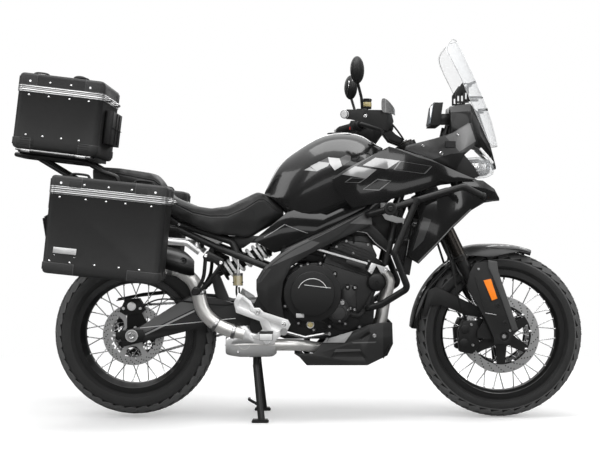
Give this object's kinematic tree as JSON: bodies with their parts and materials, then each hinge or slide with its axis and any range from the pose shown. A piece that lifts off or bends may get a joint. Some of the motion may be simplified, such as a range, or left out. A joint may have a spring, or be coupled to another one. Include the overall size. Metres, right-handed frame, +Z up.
{
  "type": "adventure motorcycle",
  "caption": "Upright adventure motorcycle on its centre stand, with wire wheels, a tall screen, crash bars, hard side panniers and a top case that open, and turning steering and wheels.",
  "frame": {"origin": "on the floor under the middle of the whole length, on the centre plane", "axes": "X forward, Y to the rider's left, Z up"},
  "size_m": [2.2386, 0.948, 1.492],
  "materials": {
    "tyre_rubber": "matte black rubber",
    "black_paint": "satin black paint",
    "gloss_black": "gloss black",
    "spoke_steel": "polished steel",
    "disc_steel": "brushed steel",
    "axle_steel": "plain steel",
    "dark_alloy": "dark anodised",
    "engine_alloy": "satin black casting",
    "cast_alloy": "silver casting",
    "grip_rubber": "soft rubber",
    "black_plastic": "grained black",
    "grey_plastic": "satin grey",
    "exhaust_steel": "brushed steel",
    "seat_vinyl": "matte black vinyl",
    "clear_screen": "clear",
    "lamp_lens": "clear lens",
    "lamp_amber": "amber and red lenses",
    "case_black": "textured black",
    "hose_rubber": "black hose"
  },
  "bodies": {
    "chassis": {"main_frame": "black_paint", "engine_block": "engine_alloy", "radiator": "black_plastic", "exhaust_pipes": "exhaust_steel", "silencer": "exhaust_steel", "skid_plate": "grey_plastic", "fuel_tank": "gloss_black", "rider_seat": "seat_vinyl", "pillion_seat": "seat_vinyl", "rear_subframe": "black_paint", "tail_section": "black_plastic", "lamps": "lamp_amber", "frame_covers": "grey_plastic", "tank_shrouds": "gloss_black", "lower_fairing": "gloss_black", "nose_fairing": "grey_plastic", "headlight": "lamp_lens", "windscreen": "clear_screen", "instrument_display": "black_plastic", "crash_bars": "black_paint", "swingarm": "dark_alloy", "rear_shock": "dark_alloy", "drive_chain": "axle_steel", "rear_axle": "axle_steel", "rear_brake_caliper": "dark_alloy", "footrests": "cast_alloy", "foot_controls": "axle_steel", "luggage_racks": "black_paint", "top_case_body": "case_black", "right_pannier_body": "case_black", "left_pannier_body": "case_black"},
    "front_wheel": {"front_tyre": "tyre_rubber", "front_rim": "black_paint", "front_spokes": "spoke_steel", "front_hub": "black_paint", "front_brake_discs": "disc_steel"},
    "rear_wheel": {"rear_tyre": "tyre_rubber", "rear_rim": "black_paint", "rear_spokes": "spoke_steel", "rear_hub": "black_paint", "rear_brake_disc": "disc_steel"},
    "steering": {"front_axle": "axle_steel", "fork_outer_tubes": "dark_alloy", "fork_lowers": "dark_alloy", "triple_clamps": "black_paint", "handlebar": "black_paint", "hand_grips": "grip_rubber", "bar_controls": "black_plastic", "mirrors": "black_plastic", "hand_guards": "black_plastic", "front_mudguard": "gloss_black", "fork_guards": "black_plastic", "front_brake_calipers": "dark_alloy", "front_brake_hoses": "hose_rubber"},
    "top_case_lid": {"top_case_lid": "case_black"},
    "right_pannier_lid": {"right_pannier_lid": "case_black"},
    "left_pannier_lid": {"left_pannier_lid": "case_black"},
    "centre_stand": {"centre_stand": "black_paint"},
    "side_stand": {"side_stand": "black_paint"},
    "fuel_cap": {"fuel_cap": "gloss_black"}
  },
  "joints": [
    {"name": "steering", "type": "hinge", "parent": "chassis", "child": "steering", "pos_m": [0.7394, 0, 0.329], "axis": [-0.4305, 0, 0.9026], "range_deg": [-35, 35]},
    {"name": "front_wheel", "type": "hinge", "parent": "steering", "child": "front_wheel", "pos_m": [0.79, 0, 0.329], "axis": [0, 1, 0], "continuous": true},
    {"name": "rear_wheel", "type": "hinge", "parent": "chassis", "child": "rear_wheel", "pos_m": [-0.652, 0, 0.331], "axis": [0, 1, 0], "continuous": true},
    {"name": "centre_stand", "type": "hinge", "parent": "chassis", "child": "centre_stand", "pos_m": [-0.17, 0, 0.272], "axis": [0, 1, 0], "range_deg": [0, 92]},
    {"name": "side_stand", "type": "hinge", "parent": "chassis", "child": "side_stand", "pos_m": [0.03, 0.164, 0.262], "axis": [-0.0735, -0.8932, -0.4437], "range_deg": [0, 97.41]},
    {"name": "top_case_lid", "type": "hinge", "parent": "chassis", "child": "top_case_lid", "pos_m": [-0.74012, 0, 1.24667], "axis": [0, 1, 0], "range_deg": [0, 85]},
    {"name": "right_pannier_lid", "type": "hinge", "parent": "chassis", "child": "right_pannier_lid", "pos_m": [-0.46945, -0.36, 0.84492], "axis": [0, 1, 0], "range_deg": [0, 80]},
    {"name": "left_pannier_lid", "type": "hinge", "parent": "chassis", "child": "left_pannier_lid", "pos_m": [-0.46945, 0.36, 0.84492], "axis": [0, 1, 0], "range_deg": [0, 80]},
    {"name": "fuel_cap", "type": "hinge", "parent": "chassis", "child": "fuel_cap", "pos_m": [0.207, 0, 1.1216], "axis": [0, 1, 0], "range_deg": [0, 90]}
  ]
}
